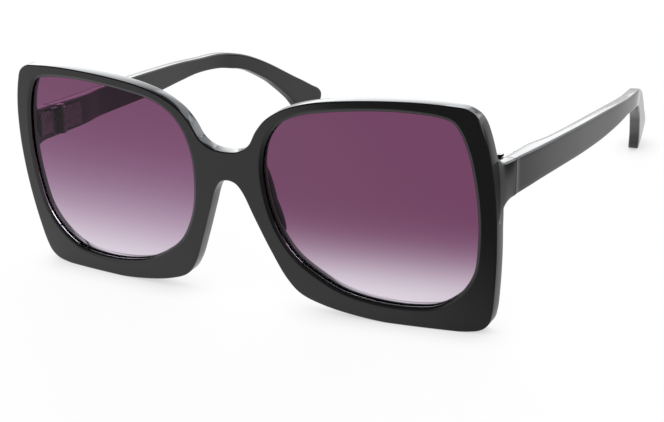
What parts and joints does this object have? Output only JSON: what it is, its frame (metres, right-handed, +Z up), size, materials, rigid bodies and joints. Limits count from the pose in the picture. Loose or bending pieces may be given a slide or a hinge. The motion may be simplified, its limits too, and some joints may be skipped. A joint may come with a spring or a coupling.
{
  "type": "sunglasses",
  "caption": "Oversized square sunglasses: glossy black moulded front and temples that fold on barrel hinges, gradient tinted curved lenses, bonded nose pads.",
  "frame": {"origin": "middle of the footprint of the open pair, on the surface that it stands on", "axes": "+X towards the wearer's left, +Y back along the temples so that the front faces -Y, +Z up"},
  "size_m": [0.1542, 0.1628, 0.0615],
  "materials": {
    "black_frame": "polished black moulded plastic",
    "black_temple": "polished black moulded plastic",
    "black_pad": "smooth black plastic pad",
    "tinted_lens": "transparent plastic with a plum tint that fades downwards",
    "hinge_steel": "plain stamped and rolled metal",
    "screw_steel": "turned metal"
  },
  "bodies": {
    "front": {"frame_front": "black_frame", "left_lens": "tinted_lens", "right_lens": "tinted_lens", "left_nose_pad": "black_pad", "right_nose_pad": "black_pad", "left_front_hinge": "hinge_steel", "right_front_hinge": "hinge_steel", "left_hinge_screw": "screw_steel", "right_hinge_screw": "screw_steel"},
    "left_temple_arm": {"left_temple": "black_temple", "left_temple_hinge": "hinge_steel"},
    "right_temple_arm": {"right_temple": "black_temple", "right_temple_hinge": "hinge_steel"}
  },
  "joints": [
    {"name": "left_temple_fold", "type": "hinge", "parent": "front", "child": "left_temple_arm", "pos_m": [0.0678, -0.0622, 0.03991], "axis": [0, 0.1184, 0.993], "range_deg": [0, 89]},
    {"name": "right_temple_fold", "type": "hinge", "parent": "front", "child": "right_temple_arm", "pos_m": [-0.0678, -0.0622, 0.03991], "axis": [0, -0.1184, -0.993], "range_deg": [0, 79]}
  ]
}
